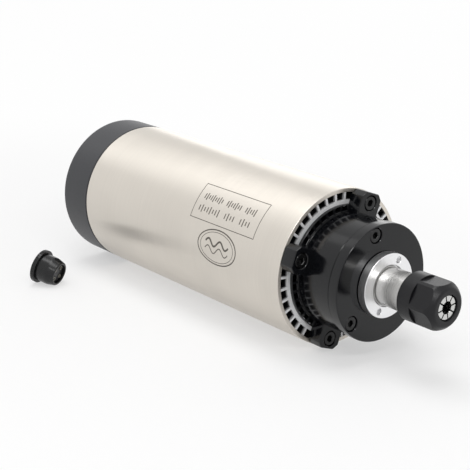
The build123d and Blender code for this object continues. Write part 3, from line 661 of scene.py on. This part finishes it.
def front_bell():
    rear, face, _ = span("front_bell")
    base, hub, spigot = BELL_BASE_R, BELL_HUB_R, BELL_SPIGOT_R
    neck = hub - 0.6 * MM
    bore = reach("front_bearing_outer_races") + 0.02 * MM
    piece = turned("front_bell", [
        (rear, bore, 0), (rear, spigot, 0.3 * MM), (0, spigot, 0), (0, base, 0),
        (BELL_BASE_X, base, 0.45 * MM), (BELL_BASE_X, neck, 0.3 * MM), (BELL_NECK_X, neck, 0.2 * MM),
        (BELL_NECK_X + 0.5 * MM, hub, 0.25 * MM), (face, hub, 0.45 * MM), (face, bore, 0.3 * MM)])
    joined(piece, ringed(screw_lug(bore + 1 * MM), LUGS, LUG_CLOCK))
    pocket = flared_prism("pocket", block_section(hub + 0.3 * MM, base - 0.5 * MM, POCKET_WIDTH),
                          BELL_BASE_X - POCKET_DEPTH, BELL_BASE_X)
    pockets = ringed(pocket, LUGS, LUG_CLOCK + 180 / LUGS, POCKETS_A_SIDE, POCKET_PITCH)
    seat = countersunk("seat", LUG_X - 4 * MM, LUG_X, COUNTERBORE_R, 0.3 * MM, LUG_SCREW_R)
    cut(piece, pockets, ringed(seat, LUGS, LUG_CLOCK))
    finished(piece, "housing", black_anodised(), ["front_bell"])
    screw_ring("front_bell_screws", SCREW, 4 * MM, LUG_X - 0.2 * MM, LUG_X - 16 * MM,
               off_axis(LUG_SCREW_R), LUGS, LUG_CLOCK)


def front_flange():
    rear, front, r = span("front_flange")
    seam, seam_r, throat = high("front_bell"), r - SEAM_DEPTH, FLANGE_THROAT_R
    register = reach("front_bearing_outer_races")
    piece = turned("front_flange_plate", [
        (rear, register - 3.2 * MM, 0), (rear, register, 0), (seam, register, 0), (seam, seam_r, 0),
        (seam + SEAM_WIDTH, seam_r, 0), (seam + SEAM_WIDTH, r, 0.4 * MM), (front, r, 0.6 * MM),
        (front, throat, 0.3 * MM), (rear + 1.8 * MM, throat, 0)])
    seat = countersunk("seat", front - 4.4 * MM, front, COUNTERBORE_R, FLARE, FLANGE_SCREW_R)
    cut(piece, ringed(seat, FLANGE_SCREWS, FLANGE_SCREW_CLOCK))
    finished(piece, "housing", black_anodised(), ["front_flange"])
    screw_ring("flange_screws", SCREW, 3.8 * MM, front - 0.6 * MM, front - 13 * MM,
               off_axis(FLANGE_SCREW_R), FLANGE_SCREWS, FLANGE_SCREW_CLOCK)


def dust_ring():
    rear, front, r = span("dust_ring")
    back, mouth_end = front - DUST_RIM, front - DUST_MOUTH_DEPTH
    piece = turned("dust_ring_turned", [
        (rear, DUST_BORE_R, 0), (rear, DUST_BACK_R, 0.2 * MM), (back, DUST_BACK_R, 0), (back, r, 0.25 * MM),
        (front, r, 0.5 * MM), (front, DUST_MOUTH_R, 0.35 * MM), (mouth_end, DUST_MOUTH_R, 0),
        (mouth_end, DUST_BORE_R, 0)])
    hole = countersunk("hole", front - 3 * MM, front, SPANNER_HOLE_R, 0.2 * MM, SPANNER_HOLE_PLACE_R)
    cut(piece, ringed(hole, SPANNER_HOLES, SPANNER_HOLE_CLOCK))
    finished(piece, "rotor", turned_aluminium(), ["dust_ring"])


# ---------- shaft, collet and nut
def thread_profile(x0, x1, crest, depth):
    """Outline points of a thread's rings between two stations."""
    pitch = THREAD_PITCH
    points = []
    for i in range(round((x1 - x0) / pitch)):
        start = x0 + i * pitch
        points += [(start, crest), (start + 0.12 * pitch, crest), (start + 0.5 * pitch, crest - depth),
                   (start + 0.62 * pitch, crest - depth), (start + 0.98 * pitch, crest)]
    return points


def shaft():
    rear, front, _ = span("shaft")
    seat_start, seat_end, _ = span("front_bearing_inner_races")
    race_start, race_end, _ = span("rear_bearing_inner_race")
    nose = SHAFT_NOSE_R
    ring_front = high("dust_ring") - DUST_MOUTH_DEPTH
    core_rear = low("rotor_cage") - 4 * MM
    thread_end = front - 1 * MM
    outline = [
        (rear, 0), (rear, 4.6 * MM), (rear + 0.4 * MM, 5 * MM), (race_start - 2 * MM, 5 * MM),
        (race_start - 2 * MM, 7.5 * MM), (race_end, 7.5 * MM), (race_end, 9.1 * MM),
        (race_end + 6 * MM, 9.1 * MM), (core_rear, 11 * MM), (seat_start - 8 * MM, 11 * MM),
        (seat_start - 8 * MM, 12.5 * MM), (seat_start, 12.5 * MM), (seat_start, 10 * MM),
        (seat_end, 10 * MM), (seat_end, 9.95 * MM), (ring_front, 9.95 * MM),
        (ring_front + 0.2 * MM, 9.75 * MM), (ring_front + 1.6 * MM, 9.75 * MM), (ring_front + 1.7 * MM, nose),
    ]
    outline += thread_profile(front - THREAD_LENGTH, thread_end, nose, 0.5 * MM)
    outline += [
        (thread_end, nose), (front - 0.4 * MM, nose - 0.1 * MM), (front, nose - 0.5 * MM),
        (front, SHAFT_MOUTH_R), (front - (SHAFT_MOUTH_R - SHAFT_RELIEF_R) / COLLET_TAPER, SHAFT_RELIEF_R),
        (low("collet") - 22 * MM, SHAFT_RELIEF_R), (low("collet") - 24 * MM, 0)]
    finished(lathe("shaft_ground", outline), "rotor", ground_steel(), ["shaft"])


def long_taper(x):
    """Radius of the collet's long taper at a station."""
    return COLLET_TAPER_R - (high("shaft") - x) * COLLET_TAPER


def collet():
    rear, front, _ = span("collet")
    bore, wide, waist = COLLET_BORE_R, COLLET_HEAD_R, COLLET_GROOVE_R
    head = front - COLLET_HEAD
    groove = head - COLLET_GROOVE
    face_r = wide - (front - head - COLLET_RIM) * COLLET_CONE
    piece = turned("collet_jaws", [
        (rear, bore, 0), (rear, long_taper(rear), 0.3 * MM), (groove, long_taper(groove), 0.1 * MM),
        (groove, waist, 0.1 * MM), (head, waist, 0.1 * MM), (head, wide, 0.1 * MM),
        (head + COLLET_RIM, wide, 0.15 * MM), (front, face_r, 0.2 * MM), (front, bore, 0.35 * MM)])
    section = block_section(0, 10 * MM, COLLET_SLOT)
    from_front = prism("slot", section, rear + COLLET_BRIDGE, front + OVER)
    from_rear = prism("slot", section, rear - OVER, front - COLLET_BRIDGE)
    cut(piece, ringed(from_front, COLLET_SLOTS, CHUCK_CLOCK),
        ringed(from_rear, COLLET_SLOTS, CHUCK_CLOCK + 180 / COLLET_SLOTS))
    finished(piece, "collet", metal("ground collet steel", "#D6D6D4", (0.16, 0.28), 1500),
             ["collet"])


def collet_nut():
    rear, front, _ = span("collet_nut")
    r, mouth = NUT_R, NUT_MOUTH_R
    thread_rear, thread_front = high("shaft") - THREAD_LENGTH, high("shaft") + 0.4 * MM
    head = high("collet") - COLLET_HEAD
    lip_rear, lip_front, cone_rear = head - 2 * MM, head - 0.5 * MM, head + COLLET_RIM
    cone_front = cone_rear + (NUT_CONE_R - mouth) / COLLET_CONE
    piece = turned("collet_nut_dressed", [
        (rear, NUT_RELIEF_R, 0.2 * MM), (thread_rear, NUT_RELIEF_R, 0), (thread_rear, NUT_BORE_R, 0),
        (thread_front, NUT_BORE_R, 0), (thread_front, NUT_ROOM_R, 0), (lip_rear, NUT_ROOM_R, 0),
        (lip_rear, NUT_LIP_R, 0), (lip_front, NUT_LIP_R, 0), (lip_front, NUT_CONE_R, 0),
        (cone_rear, NUT_CONE_R, 0), (cone_front, mouth, 0), (front, mouth, 0.35 * MM),
        (front, NUT_FACE_R, 0.9 * MM), (front - NUT_TAPER, r, 1.3 * MM), (rear, r, 1.0 * MM)], steps=4)
    flats_rear = front - NUT_FLAT_LENGTH
    waste = prism("waste", circle(r * 1.3, 64), flats_rear, front + OVER)
    flats = prism("flats", polygon(6, NUT_FLATS, math.radians(NUT_CLOCK + 30)), flats_rear - 2 * MM,
                  front + 2 * MM)
    cut(piece, cut(waste, broken_edges(flats, 0.2 * MM)))
    finished(piece, "nut", blackened_nut(), ["collet_nut"], angle=24)


# ---------- rear end
def rear_cap():
    rear, front, r = span("rear_cap")
    floor, inside, hole = rear + CAP_WALL, r - CAP_WALL, CAP_HOLE_R
    piece = turned("rear_cap_moulded", [
        (rear, hole, 0.2 * MM), (rear, r, 1.6 * MM), (front, r, 0.7 * MM), (front, inside, 0.2 * MM),
        (floor, inside, 0.8 * MM), (floor, hole, 0)], facets=256, steps=5)
    foot = floor - 0.5 * MM
    post = lathe("post", [(foot, 0), (foot, CAP_POST_R), (front, CAP_POST_R), (front, 0)], 40)
    joined(piece, ringed(moved(post, off_axis(LUG_SCREW_R)), LUGS, LUG_CLOCK))
    # the grille and the seats are made facing +X, then turned to face the rear
    slot = flared_prism("slot", block_section(GRILLE_INNER_R, GRILLE_OUTER_R, GRILLE_SLOT), 0,
                        CAP_WALL + 0.5 * MM)
    moved(moved(slot, TURNED_BACK), Matrix.Translation((floor + 0.5 * MM, 0, 0)))
    slots = ringed(slot, GRILLE_SLOTS, LUG_CLOCK + 180 / GRILLE_SLOTS + 180)
    seat = countersunk("seat", 0, CAP_SEAT_DEPTH, CAP_SEAT_R, 0.2 * MM, LUG_SCREW_R)
    moved(seat, Matrix.Translation((rear + CAP_SEAT_DEPTH, 0, 0)) @ TURNED_BACK)
    cut(piece, slots, ringed(seat, LUGS, 180 - LUG_CLOCK))
    finished(piece, "housing", slate_nylon(), ["rear_cap"])
    back, face, outer = span("cap_gasket")
    outer -= GASKET_INSET
    inner = outer - 2 * MM
    seal = turned("cap_seal", [(back, inner, 0), (back, outer, 0.2 * MM), (face, outer, 0.2 * MM),
                               (face, inner, 0)])
    finished(seal, "housing", moulded("black nitrile rubber", "#101012", (0.55, 0.65)),
             ["cap_gasket"])
    screw_ring("rear_cap_screws", SMALL_SCREW, 1.9 * MM, 0, -30 * MM,
               Matrix.Translation((rear + 0.2 * MM, LUG_SCREW_R, 0)) @ TURNED_BACK, LUGS, 180 - LUG_CLOCK)


def inlet():
    rear, front, _ = span("inlet_shell")
    r, bore, nut_r, cap_face = INLET_R, INLET_BORE_R, INLET_NUT_R, low("rear_cap")
    nut = cap_face - INLET_NUT_HEIGHT
    outline = [(rear, bore), (rear, r - 0.5 * MM), (rear + 0.5 * MM, r)]
    outline += thread_profile(rear + 0.6 * MM, nut - 0.4 * MM, r, 0.45 * MM)
    outline += [(nut, r), (nut, nut_r - 0.3 * MM), (nut + 0.3 * MM, nut_r), (cap_face, nut_r),
                (cap_face, r), (front, r), (front, bore)]
    finished(lathe("inlet_barrel", outline, 96), "housing",
             metal("nickel-plated brass", "#C9C4B8", (0.2, 0.32)), ["inlet_shell"])
    back, face, _ = span("inlet_insert")
    fit_r = bore - 0.02 * MM
    disc = turned("inlet_disc", [(back, 0, 0), (back, fit_r, 0.3 * MM), (face, fit_r, 0), (face, 0, 0)], 72)
    finished(disc, "housing", phenolic(), ["inlet_insert"])
    tip = low("inlet_pins")
    pins = turned("inlet_pins_dressed", [(face, 0, 0), (face, PIN_R, 0), (tip, PIN_R, 0.5 * MM),
                                         (tip, 0, 0)], 24)
    ringed(moved(pins, off_axis(PIN_PLACE_R)), CONTACTS, CONTACT_CLOCK)
    finished(pins, "housing", metal("gold-plated brass", "#D9B871", (0.2, 0.3)),
             ["inlet_pins"])


# ---------- loose connector
def plug_place():
    """From the plug's own axis to where it lies: on the floor, tilted until its ring and barrel touch it."""
    tilt = math.atan2((PLUG_RING_R - PLUG_R), PLUG_BARREL)
    height = PLUG_RING * math.sin(tilt) + PLUG_RING_R * math.cos(tilt)
    turn = Matrix.Rotation(math.radians(PLUG_TURN), 4, "Z")
    return Matrix.Translation((PLUG_X, PLUG_Y, FLOOR + height)) @ turn @ Matrix.Rotation(tilt, 4, "Y")


def plug():
    place = plug_place()
    ring_r, step = PLUG_RING_R, PLUG_RING + PLUG_BARREL
    length = step + PLUG_NOSE
    face = length - PLUG_RECESS
    back, inner = face - PLUG_INSERT, PLUG_NOSE_R - PLUG_WALL
    plastic = moulded("black glass-filled polyester", "#0E0F10", (0.2, 0.3), sheen=0.4)
    ring = turned("plug_coupling_ring", [
        (0, PLUG_R, 0.1 * MM), (0, ring_r, 0.6 * MM), (PLUG_RING, ring_r, 0.5 * MM),
        (PLUG_RING, PLUG_R, 0.1 * MM)], 128)
    groove = prism("groove", block_section(ring_r - 0.3 * MM, ring_r + OVER, 0.35 * MM), 0.5 * MM,
                   PLUG_RING - 0.5 * MM)
    cut(ring, ringed(groove, PLUG_RIBS))
    finished(moved(ring, place), "housing", plastic, ["plug_ring"])
    barrel = turned("plug_barrel", [
        (0, PLUG_CORD_R, 0.2 * MM), (0, PLUG_R, 0.3 * MM), (step, PLUG_R, 0.8 * MM),
        (length, PLUG_NOSE_R + 0.15 * MM, 0.5 * MM), (length, inner, 0.2 * MM), (back, inner, 0),
        (back, PLUG_CORD_R, 0)], 128)
    finished(moved(barrel, place), "housing", plastic, ["plug_body"])
    fit_r = inner - 0.02 * MM
    carrier = turned("plug_face", [(back, 0, 0), (back, fit_r, 0), (face, fit_r, 0.3 * MM), (face, 0, 0)], 96)
    hole = countersunk("hole", face - CONTACT_DEPTH, face, CONTACT_HOLE_R, FLARE, CONTACT_PLACE_R, 28)
    cut(carrier, ringed(hole, CONTACTS, CONTACT_CLOCK))
    finished(moved(carrier, place), "housing", phenolic(), ["plug_insert"])
    foot, tip = face - CONTACT_DEPTH, face + 0.5 * MM
    contacts = turned("plug_contacts_dressed", [(foot, PIN_R, 0), (foot, CONTACT_R, 0),
                                                (tip, CONTACT_R, 0.15 * MM), (tip, PIN_R, 0.15 * MM)], 28)
    ringed(moved(contacts, off_axis(CONTACT_PLACE_R)), CONTACTS, CONTACT_CLOCK)
    finished(moved(contacts, place), "housing",
             metal("tinned brass", "#A9A69C", (0.3, 0.4)), ["plug_contacts"])


# ---------- pieces that keep their CAD shape
def hidden_finishes():
    """Finishes of the nodes that show their CAD mesh, by the record's material slot."""
    return {
        "extruded_aluminium": extruded_aluminium(),
        "black_cast_aluminium": black_anodised(),
        "lamination_steel": metal("silicon lamination steel", "#8E9094", (0.35, 0.5)),
        "copper": metal("enamelled copper", "#B4693A", (0.28, 0.4)),
        "rotor_aluminium": metal("die-cast aluminium", "#BFC1C3", (0.4, 0.55)),
        "turned_aluminium": turned_aluminium(),
        "black_screw": screw_black(),
        "bearing_steel": metal("bearing steel", "#C4C6C8", (0.12, 0.2)),
        "brass_cage": metal("cage brass", "#C9A45C", (0.25, 0.38)),
        "ground_steel": ground_steel(),
        "fan_plastic": moulded("black fan nylon", "#232426", (0.4, 0.5)),
        "spring_steel": metal("spring steel", "#A9ABAE", (0.25, 0.35)),
        "brushed_stainless": brushed_stainless(),
        "cap_grey": slate_nylon(),
        "blackened_steel": blackened_nut(),
    }


def dress_cad_nodes():
    """Give every node of the frame that no piece replaces the finish of its slot."""
    finishes = hidden_finishes()
    spare = finishes["bearing_steel"]
    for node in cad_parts.values():
        slots = {slot.material.name.split(".")[0] for slot in node.material_slots if slot.material}
        chosen = next((finishes[s] for s in slots if s in finishes), spare)
        for slot in node.material_slots:
            slot.material = chosen


# ---------- stage
def seen_directly(tree):
    """1 for rays from the camera, off metal or through glass, 0 for the light on the object."""
    rays = add_node(tree, "ShaderNodeLightPath").outputs
    some = add_node(tree, "ShaderNodeMath", {0: rays["Is Camera Ray"], 1: rays["Is Glossy Ray"]},
                    operation="ADD").outputs[0]
    return add_node(tree, "ShaderNodeMath", {0: some, 1: rays["Is Transmission Ray"]},
                    operation="ADD", use_clamp=True).outputs[0]


def ground():
    """White floor that keeps the object's shadow and is seen whiter away from it."""
    work = bmesh.new()
    bmesh.ops.create_grid(work, x_segments=1, y_segments=1, size=4)
    piece = moved(from_bmesh("floor", work), Matrix.Translation((0, 0, FLOOR)))
    material = bpy.data.materials.new("white paper sweep")
    material.use_nodes = True
    tree = material.node_tree
    paper = feed(tree, tree.nodes["Principled BSDF"], {"Base Color": (0.95, 0.95, 0.95, 1), "Roughness": 0.9})
    white = add_node(tree, "ShaderNodeEmission", {"Color": (1, 1, 1, 1), "Strength": 1.0}).outputs[0]
    # metres from the middle, which count half along the axis
    place = add_node(tree, "ShaderNodeTexCoord").outputs["Object"]
    place = add_node(tree, "ShaderNodeMapping", {"Vector": place, "Location": (-MIDDLE[0] / 2, 0, 0),
                                                 "Scale": (0.5, 1, 0)}).outputs[0]
    away = add_node(tree, "ShaderNodeVectorMath", {0: place}, operation="LENGTH").outputs["Value"]
    # painted shade: the white glow fades towards the object, so the floor is darker round the object whether
    # or not its shadow falls there
    whiter = add_node(tree, "ShaderNodeMapRange", {"Value": away, "From Min": 0.05, "From Max": 0.3,
                                                   "To Min": 0.5, "To Max": 0.97},
                      interpolation_type="SMOOTHSTEP").outputs[0]
    share = add_node(tree, "ShaderNodeMath", {0: seen_directly(tree), 1: whiter},
                     operation="MULTIPLY").outputs[0]
    both = add_node(tree, "ShaderNodeMixShader", {0: share, 1: paper.outputs[0], 2: white}).outputs[0]
    feed(tree, tree.nodes["Material Output"], {"Surface": both})
    piece.data.materials.append(material)


def studio():
    """Even world: dim as light on the object, white where it is seen."""
    world = bpy.data.worlds.new("studio")
    bpy.context.scene.world = world
    world.use_nodes = True
    tree = world.node_tree
    level = add_node(tree, "ShaderNodeMapRange",
                     {"Value": seen_directly(tree), "To Min": 0.45, "To Max": 1.0}).outputs[0]
    feed(tree, tree.nodes["Background"], {"Color": (1, 1, 1, 1), "Strength": level})


def lamp(name, place, width, height, watts):
    """Rectangular softbox that looks at the object."""
    light = bpy.data.lights.new(name, "AREA")
    light.shape = "RECTANGLE"
    light.size, light.size_y, light.energy = width, height, watts
    aim = (Vector(MIDDLE) - Vector(place)).normalized().to_track_quat("-Z", "Y")
    linked(name, light).matrix_world = Matrix.Translation(place) @ aim.to_matrix().to_4x4()


def camera():
    """94 mm lens, 51 degrees round from the -Y side, 18 degrees up."""
    data = bpy.data.cameras.new("camera")
    data.lens, data.sensor_width = LENS, SENSOR
    data.clip_start, data.clip_end = 0.01, 20
    right, up = Vector(CAMERA_RIGHT), Vector(CAMERA_UP)
    turn = Matrix((right, up, right.cross(up))).transposed().to_4x4()
    holder = linked("camera", data)
    holder.matrix_world = Matrix.Translation(CAMERA_PLACE) @ turn
    bpy.context.scene.camera = holder


def stage():
    ground()
    studio()
    for row in LAMPS:
        lamp(*row)
    camera()
    bpy.context.scene.view_settings.view_transform = "Standard"


# ---------- operators
class SpindleOperator:
    """What the operators share: build one piece or group, and fail loudly."""
    bl_options = {"REGISTER", "UNDO"}
    build = None

    def execute(self, context):
        type(self).build()
        self.report({"INFO"}, self.bl_label + ": done")
        return {"FINISHED"}


class BuildSleeve(SpindleOperator, bpy.types.Operator):
    """Brushed stainless sleeve round the motor"""
    bl_idname = "spindle.sleeve"
    bl_label = "Sleeve"
    build = staticmethod(sleeve)


class BuildMarks(SpindleOperator, bpy.types.Operator):
    """Etched frame, ticks, oval and waves on the sleeve"""
    bl_idname = "spindle.marks"
    bl_label = "Etched marks"
    build = staticmethod(etched_marks)


class BuildBell(SpindleOperator, bpy.types.Operator):
    """Black front bell with its lugs, pockets and screws"""
    bl_idname = "spindle.bell"
    bl_label = "Front bell"
    build = staticmethod(front_bell)


class BuildFlange(SpindleOperator, bpy.types.Operator):
    """Front flange with its counterbored screws"""
    bl_idname = "spindle.flange"
    bl_label = "Front flange"
    build = staticmethod(front_flange)


class BuildDustRing(SpindleOperator, bpy.types.Operator):
    """Turned dust ring with two spanner holes"""
    bl_idname = "spindle.dust_ring"
    bl_label = "Dust ring"
    build = staticmethod(dust_ring)


class BuildShaft(SpindleOperator, bpy.types.Operator):
    """Ground shaft with its nose thread and taper"""
    bl_idname = "spindle.shaft"
    bl_label = "Shaft"
    build = staticmethod(shaft)


class BuildCollet(SpindleOperator, bpy.types.Operator):
    """Slotted collet"""
    bl_idname = "spindle.collet"
    bl_label = "Collet"
    build = staticmethod(collet)


class BuildNut(SpindleOperator, bpy.types.Operator):
    """Collet nut with six flats"""
    bl_idname = "spindle.nut"
    bl_label = "Collet nut"
    build = staticmethod(collet_nut)


class BuildCap(SpindleOperator, bpy.types.Operator):
    """Rear cap with its grille, seal and screws"""
    bl_idname = "spindle.cap"
    bl_label = "Rear cap"
    build = staticmethod(rear_cap)


class BuildInlet(SpindleOperator, bpy.types.Operator):
    """Threaded power inlet with its pins"""
    bl_idname = "spindle.inlet"
    bl_label = "Power inlet"
    build = staticmethod(inlet)


class BuildPlug(SpindleOperator, bpy.types.Operator):
    """Loose four-pole connector beside the spindle"""
    bl_idname = "spindle.plug"
    bl_label = "Loose connector"
    build = staticmethod(plug)


class DressNodes(SpindleOperator, bpy.types.Operator):
    """Finishes of the pieces that keep their CAD shape"""
    bl_idname = "spindle.nodes"
    bl_label = "Inner pieces' finishes"
    build = staticmethod(dress_cad_nodes)


class BuildStage(SpindleOperator, bpy.types.Operator):
    """Floor, world, lights and camera"""
    bl_idname = "spindle.stage"
    bl_label = "Stage"
    build = staticmethod(stage)


OPERATORS = (BuildSleeve, BuildMarks, BuildBell, BuildFlange, BuildDustRing, BuildShaft, BuildCollet,
             BuildNut, BuildCap, BuildInlet, BuildPlug, DressNodes, BuildStage)


class SpindlePanel(bpy.types.Panel):
    """Sidebar panel with the sizes, the colours and a button for each piece"""
    bl_idname = "VIEW3D_PT_spindle"
    bl_label = "Motor spindle"
    bl_space_type = "VIEW_3D"
    bl_region_type = "UI"
    bl_category = "Spindle"

    def draw(self, context):
        for group in (sizes(), colours()):
            box = self.layout.box()
            for name in group.__annotations__:
                box.prop(group, name)
        for operator in OPERATORS:
            self.layout.operator(operator.bl_idname)


CLASSES = (SpindleSizes, SpindleColours, *OPERATORS, SpindlePanel)


def register():
    for cls in CLASSES:
        bpy.utils.register_class(cls)
    bpy.types.Scene.spindle_sizes = bpy.props.PointerProperty(type=SpindleSizes)
    bpy.types.Scene.spindle_colours = bpy.props.PointerProperty(type=SpindleColours)


def unregister():
    del bpy.types.Scene.spindle_colours
    del bpy.types.Scene.spindle_sizes
    for cls in reversed(CLASSES):
        bpy.utils.unregister_class(cls)


def main():
    register()
    for operator in OPERATORS:
        group, name = operator.bl_idname.split(".")
        if getattr(getattr(bpy.ops, group), name)() != {"FINISHED"}:
            raise RuntimeError(operator.bl_label + " didn't finish")


if __name__ == "__main__":
    main()
